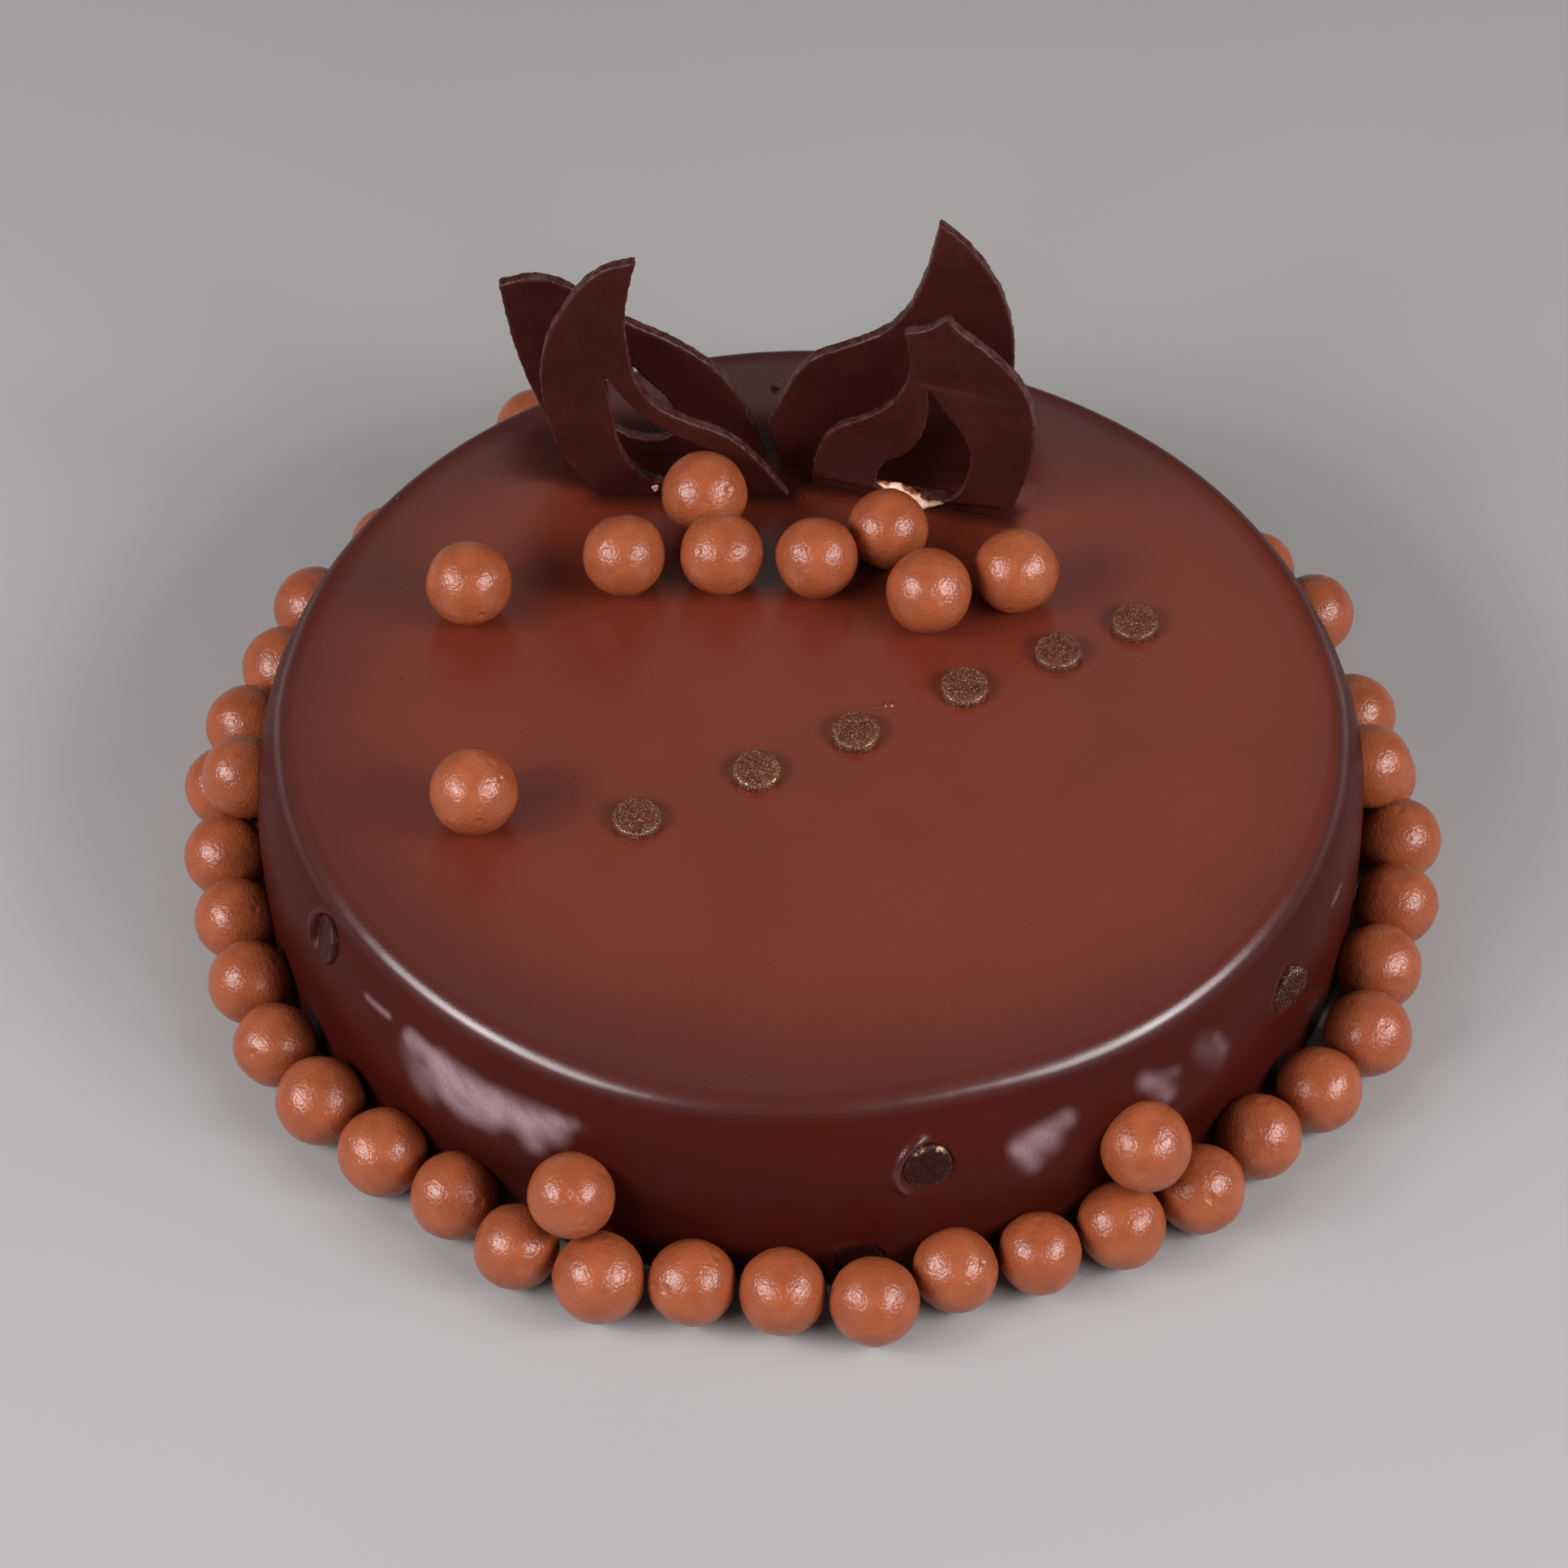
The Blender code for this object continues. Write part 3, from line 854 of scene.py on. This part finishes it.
def make_shard(node, finish):
    """The shard from the frame in small, even faces, with rough edges and slightly wavy faces."""
    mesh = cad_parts[node].data.copy()
    mesh = evaluated(mesh, "even", "REMESH", mode="VOXEL", voxel_size=SHARD_VOXEL * MM)
    mesh = evaluated(mesh, "soften", "SMOOTH", factor=0.5, iterations=SHARD_SMOOTHING)
    mesh.materials.clear()
    normals = [Vector(item.vector) for item in mesh.vertex_normals]
    towards = [n if n.y < 0 else -n for n in normals if abs(n.y) > FLAT_FROM]
    flat = sum(towards, Vector()).normalized()
    edges = []
    for vert, normal in zip(mesh.vertices, normals):
        here = vert.co / MM
        edge = 1 - smooth((abs(normal.dot(flat)) - EDGE_FROM) / EDGE_FADE)
        edges.append(edge)
        rough = sum(strength * noise.noise(here / size) for size, strength in EDGE_GRAINS)
        move = normal * (edge * EDGE_ROUGH * rough)
        move += flat * (FACE_WAVE * noise.noise(here / FACE_WAVE_SIZE))
        move.z -= PRESSED
        vert.co += move * MM
    store(mesh, "edge", edges)
    mesh = evaluated(mesh, "thin_out", "DECIMATE", ratio=SHARD_KEPT)
    new_piece("cut_" + node, mesh, finish, [node])


# ---------------------------------------------------------------- discs

DISC_COLUMNS = 64
DISC_BEVEL = 0.75
FACE_RINGS = 11
FACE_STEP = DISC_RADIUS / 14
BEVEL_STEPS = 7
DISH_DEPTH = 0.08
DISH_REACH = 0.6 * DISC_RADIUS
FACE_GRAIN = 0.05
FACE_GRAIN_SIZE = 1.1
HOLES = 2
HOLE_PLACES = (0.2, 0.6)  # the least and the most, as a share of the radius
HOLE_DEPTH = 0.25
HOLE_REACH = 0.3
OUT_OF_ROUND = 0.02
OUT_OF_ROUND_FINENESS = 1.5
GLINT_RING_RADIUS = DISC_RADIUS - DISC_BEVEL + 0.25  # the middle of the ring where the glint is painted
GLINT_RING_REACH = 0.35
TOP_GLINT = 0.45
WALL_GLINT = 0.05
GLINT_STRENGTH = 1.6
GLINT_REACH = 11.0  # degrees round the disc
EDGE_DUST = 0.8  # how far a painted glint also fills up the gold dust
GLINT_SHOWN = 0.6  # how much of the painted glint the finish shows


def edge_glint(x, y, glints):
    """How strong the painted glint on a disc's edge is at a place: all round on the top, and in a glint or
    two on the wall.
    """
    glint_level = bell((math.hypot(x, y) - GLINT_RING_RADIUS) / GLINT_RING_REACH)
    if glints is None:
        return TOP_GLINT * glint_level
    turn = math.degrees(math.atan2(y, x))
    glinting = sum(bell(turned_by(turn, glint) / GLINT_REACH) for glint in glints)
    return glint_level * (WALL_GLINT + GLINT_STRENGTH * glinting)


def disc_rings():
    """Radius and height of each ring of a disc, from near the middle of its face to its underside."""
    rings = [(FACE_STEP * step, DISC_THICK / 2) for step in range(1, FACE_RINGS + 1)]
    for step in range(BEVEL_STEPS + 1):
        turn = math.radians(90 - 90 * step / BEVEL_STEPS)
        radius = DISC_RADIUS - DISC_BEVEL * (1 - math.cos(turn))
        rings.append((radius, DISC_THICK / 2 - DISC_BEVEL * (1 - math.sin(turn))))
    return rings + [(radius, -height) for radius, height in reversed(rings[FACE_RINGS:])]


def disc_holes(chance):
    """Places of the pin-holes in a disc's face."""
    holes = []
    for _ in range(HOLES):
        away, angle = chance.uniform(*HOLE_PLACES) * DISC_RADIUS, chance.uniform(0, math.tau)
        holes.append(Vector((away * math.cos(angle), away * math.sin(angle))))
    return holes


def disc_point(radius, height, angle, holes, shift):
    """A point of a disc, whose face is a little dished and grainy and whose outline isn't quite round."""
    at = Vector((radius * math.cos(angle), radius * math.sin(angle), height))
    if height > 0:
        at.z -= DISH_DEPTH * bell(radius / DISH_REACH)
        at.z += FACE_GRAIN * noise.noise(at / FACE_GRAIN_SIZE + shift)
        for hole in holes:
            at.z -= HOLE_DEPTH * bell((at.xy - hole).length / HOLE_REACH)
    at.xy *= 1 + OUT_OF_ROUND * noise.noise(at.normalized() * OUT_OF_ROUND_FINENESS + shift)
    return tuple(at)


def disc_mesh(name, chance, dust, glints=None):
    """A disc that lies flat, with its marks for dust and painted glints. Dust gathers where a glint is
    painted on the edge.
    """
    rings = disc_rings()
    holes = disc_holes(chance)
    shift = noise_shift(chance)
    points = []
    for radius, height in rings:
        for column in range(DISC_COLUMNS):
            points.append(disc_point(radius, height, math.tau * column / DISC_COLUMNS, holes, shift))
    faces = [face[::-1] for face in ring_faces(len(rings), DISC_COLUMNS)]
    middle, under = len(points), len(points) + 1
    points += [(0, 0, DISC_THICK / 2 - DISH_DEPTH), (0, 0, -DISC_THICK / 2)]
    last = (len(rings) - 1) * DISC_COLUMNS
    for column in range(DISC_COLUMNS):
        after = (column + 1) % DISC_COLUMNS
        faces.append((middle, column, after))
        faces.append((under, last + after, last + column))
    mesh = mesh_of(name, points, faces)
    painted_glint = [edge_glint(x, y, glints) for x, y, _ in points]
    # painted glint on the disc's edge
    store(mesh, "edge", [GLINT_SHOWN * glint_level for glint_level in painted_glint])
    store(mesh, "dust", [dust + (1 - dust) * EDGE_DUST * min(glint_level, 1.0) for glint_level in painted_glint])
    return mesh


def placed(mesh, matrix, place):
    """Turns a mesh and moves it to its place."""
    mesh.transform(Matrix.Translation(Vector(place) * MM) @ matrix.to_4x4())
    mesh.update()
    return mesh


def make_top_discs(chance, finish):
    for number, (x, y, dust) in enumerate(TOP_DISCS, start=1):
        tilt = math.radians(chance.uniform(-TOP_DISC_TILT, TOP_DISC_TILT))
        turn = Matrix.Rotation(chance.uniform(0, math.tau), 3, "Z") * TOP_DISC_SCALE
        turned = Matrix.Rotation(TOP_DISC_LEAN, 3, "X") @ turn @ Matrix.Rotation(tilt, 3, "X")
        place = (x, y, HEIGHT + DISC_THICK / 2 - TOP_DISC_SUNK)
        mesh = placed(disc_mesh(f"disc_top_{number}", chance, dust), turned, place)
        new_piece(mesh.name, mesh, finish)


def make_wall_discs(chance, finish):
    for number, (turn, height, lean, swing, sunk, _, dust, glints) in enumerate(WALL_DISCS, start=1):
        angle = math.radians(turn)
        out = wall_radius(turn, height) - DISC_THICK / 2 - sunk
        swung = Matrix.Rotation(math.radians(turn + swing), 3, "Z")
        face_out = swung @ Matrix.Rotation(math.radians(90 - lean), 3, "Y")
        place = (out * math.cos(angle), out * math.sin(angle), height)
        mesh = placed(disc_mesh(f"disc_wall_{number}", chance, dust, glints), face_out, place)
        new_piece(mesh.name, mesh, finish)


# ---------------------------------------------------------------- small things

# The streak of filling along the front right shard's sill: points on its way, and how thick it is there
FILLING_PATH = (
    *((11.3, 49.6, 42.8, 0.30), (12.7, 48.9, 42.8, 0.85), (14.1, 48.4, 42.6, 1.15)),
    *((15.6, 48.0, 42.1, 1.40), (17.0, 47.6, 41.4, 1.60), (18.4, 47.4, 40.7, 1.60)),
    *((19.6, 47.3, 40.2, 1.25), (20.7, 47.2, 40.0, 0.75), (21.8, 47.3, 40.3, 0.75)),
    *((22.9, 47.1, 40.7, 0.60), (23.9, 46.9, 40.9, 0.20)),
)
FILLING_BITS = ((-28.0, 49.6, 41.2, 0.8), (25.0, 46.8, 41.0, 0.35), (20.9, 47.2, 39.4, 0.45))
FILLING_STEPS = 70
FILLING_COLUMNS = 20
FILLING_ROUGH = ((1.1, 0.35), (0.4, 0.15))  # size and strength
SMEAR_SIZE = 1.3
SMEAR_SOFTNESS = 0.9
BIT_SMEAR = 0.6
CRUMBS = (  # place on the top, and size
    *((-2.2, 49.3, 0.30), (-1.2, 49.9, 0.22), (0.0, 49.9, 0.28), (1.4, 48.1, 0.26), (-0.8, 48.2, 0.22)),
    *((-70.9, 3.8, 0.25), (-74.3, 48.4, 0.25), (-6.9, 78.6, 0.8), (29.5, 9.6, 0.22), (28.3, 8.6, 0.2)),
)
CRUMB_DUST = 0.9
DROPS = (  # place and size of small lumps of glaze
    ((13.3, -1.8, HEIGHT), (0.95, 0.80, 0.50)),
    ((11.9, -2.4, HEIGHT), (1.0, 0.45, 0.25)),
    ((-53.3, -72.0, 38.0), (0.55, 0.55, 0.55)),
    ((-58.5, -75.9, 16.4), (0.6, 0.6, 0.35)),
)


def filling_point(share):
    """Place and thickness at a share of the way along the filling's path."""
    at = share * (len(FILLING_PATH) - 1)
    step = min(int(at), len(FILLING_PATH) - 2)
    one, other = (np.array(FILLING_PATH[step + k]) for k in (0, 1))
    return one + (other - one) * smooth(at - step)


def filling_streak():
    """A rough tube along the path, and how smeared with chocolate each of its points is."""
    points, smears = [], []
    for step in range(FILLING_STEPS + 1):
        x, y, z, thick = filling_point(step / FILLING_STEPS)
        for column in range(FILLING_COLUMNS):
            angle = math.tau * column / FILLING_COLUMNS
            out, up = math.cos(angle), math.sin(angle)
            way = Vector((0.15, out, up))
            here = Vector((x, y, z)) + way * thick
            rough = 1 + sum(strength * noise.noise(here / size) for size, strength in FILLING_ROUGH)
            points.append(tuple(Vector((x, y, z)) + way * thick * rough))
            smear = up + 1.2 * out + 1.2 * noise.noise(here / SMEAR_SIZE)
            smears.append(smooth(smear / SMEAR_SOFTNESS))
    faces = [face[::-1] for face in ring_faces(FILLING_STEPS + 1, FILLING_COLUMNS)]
    faces.append(tuple(range(FILLING_COLUMNS)))
    faces.append(tuple(reversed(range(len(points) - FILLING_COLUMNS, len(points)))))
    return mesh_of("streak", points, faces), smears


def make_filling(chance, finish):
    """The streak and a few bits of filling beside it."""
    streak, smears = filling_streak()
    sheet = bmesh.new()
    sheet.from_mesh(streak)
    for x, y, z, size in FILLING_BITS:
        lumpy_sphere(sheet, (x, y, z), (size, size * 0.8, size), 3, chance, 0.4)
    smears += [BIT_SMEAR] * (len(sheet.verts) - len(smears))
    bmesh.ops.recalc_face_normals(sheet, faces=sheet.faces)
    mesh = mesh_from(sheet, "filling")
    store(mesh, "smear", smears)
    new_piece("pale_filling", mesh, finish)


def make_crumbs(chance, finish):
    sheet = bmesh.new()
    for x, y, size in CRUMBS:
        lumpy_sphere(sheet, (x, y, HEIGHT + size * 0.5), (size, size * 0.8, size * 0.7), 2, chance, 0.5)
    mesh = mesh_from(sheet, "crumbs")
    store(mesh, "dust", [CRUMB_DUST] * len(mesh.vertices))
    new_piece("crumbs", mesh, finish)


def make_drops(chance, finish):
    sheet = bmesh.new()
    for place, size in DROPS:
        lumpy_sphere(sheet, place, size, 4, chance, 0.12)
    mesh = mesh_from(sheet, "drops")
    store(mesh, "gloss", [1.0] * len(mesh.vertices))
    new_piece("glaze_drops", mesh, finish)


# ---------------------------------------------------------------- floor, light and camera


def make_floor():
    sheet = bmesh.new()
    bmesh.ops.create_grid(sheet, x_segments=1, y_segments=1, size=FLOOR_REACH * MM)
    mesh = mesh_from(sheet, "floor")
    mesh.materials.append(floor_finish())
    floor = bpy.data.objects.new("floor", mesh)
    bpy.context.scene.collection.objects.link(floor)


def make_lamp(name, turn, away, width, tall, power):
    """A softbox that faces the middle of the foot, so many degrees from the front towards the right."""
    light = bpy.data.lights.new(name, "AREA")
    light.shape = "RECTANGLE"
    light.size = width * MM
    light.size_y = tall * MM
    light.energy = power
    light.color = LAMP_COLOUR
    lamp = bpy.data.objects.new(name, light)
    turn, up = math.radians(turn), math.radians(LAMP_UP)
    way = Vector((math.sin(turn) * math.cos(up), -math.cos(turn) * math.cos(up), math.sin(up)))
    lamp.location = way * away * MM
    lamp.rotation_euler = way.to_track_quat("Z", "Y").to_euler()
    bpy.context.scene.collection.objects.link(lamp)


def make_dome():
    """A plain, dim sky with a soft brighter part at the back."""
    world = bpy.data.worlds.new("dome")
    world.use_nodes = True
    bpy.context.scene.world = world
    nodes, links = world.node_tree.nodes, world.node_tree.links
    way = nodes.new("ShaderNodeTexCoord").outputs["Generated"]
    near = nodes.new("ShaderNodeVectorMath")
    near.operation = "DOT_PRODUCT"
    near.inputs[1].default_value = BRIGHT_WAY
    links.new(way, near.inputs[0])
    rise = nodes.new("ShaderNodeMapRange")
    rise.inputs["From Min"].default_value = BRIGHT_END
    rise.inputs["From Max"].default_value = BRIGHT_CORE
    rise.inputs["To Min"].default_value = DOME_DIM
    rise.inputs["To Max"].default_value = DOME_BRIGHT
    rise.interpolation_type = "SMOOTHSTEP"
    links.new(near.outputs["Value"], rise.inputs["Value"])
    links.new(rise.outputs["Result"], nodes["Background"].inputs["Strength"])
    nodes["Background"].inputs["Color"].default_value = (*DOME_COLOUR, 1.0)


def make_camera():
    lens = bpy.data.cameras.new("camera")
    lens.lens = LENS
    lens.sensor_width = SENSOR
    camera = bpy.data.objects.new("camera", lens)
    camera.location = Vector(CAMERA_PLACE) * MM
    camera.rotation_euler = [math.radians(turn) for turn in CAMERA_TURN]
    bpy.context.scene.collection.objects.link(camera)
    bpy.context.scene.camera = camera


def make_setting():
    make_camera()
    make_floor()
    for side, way in (("left", -1), ("right", 1)):
        make_lamp("softbox_" + side, way * BOX_TURN, BOX_AWAY, BOX_WIDTH, BOX_TALL, BOX_POWER)
        make_lamp("core_" + side, way * CORE_TURN, CORE_AWAY, CORE_WIDTH, CORE_TALL, CORE_POWER)
    make_dome()
    bpy.context.scene.view_settings.view_transform = "Standard"


def main():
    chance = random.Random(SEED)
    make_setting()
    glaze = glaze_finish()
    make_glaze(glaze)
    make_drops(chance, glaze)
    milk = ball_finish()
    for node in sorted(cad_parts):
        if node.startswith("ball_"):
            make_ball(node, chance, milk)
    dark = shard_finish()
    for node in sorted(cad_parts):
        if node.startswith("shard_"):
            make_shard(node, dark)
    dusted = disc_finish("dusted_chocolate", TOP_DISC_COLOURS, TOP_DISC_GLINT, 0.3)
    make_top_discs(chance, dusted)
    # The discs in the wall get darker chocolate, which is painted shade, and brighter painted glints
    shaded_discs = disc_finish("dusted_chocolate_shaded", WALL_DISC_SHADED, WALL_DISC_GLINT, 0.12)
    make_wall_discs(chance, shaded_discs)
    make_crumbs(chance, dusted)
    make_filling(chance, filling_finish())


main()
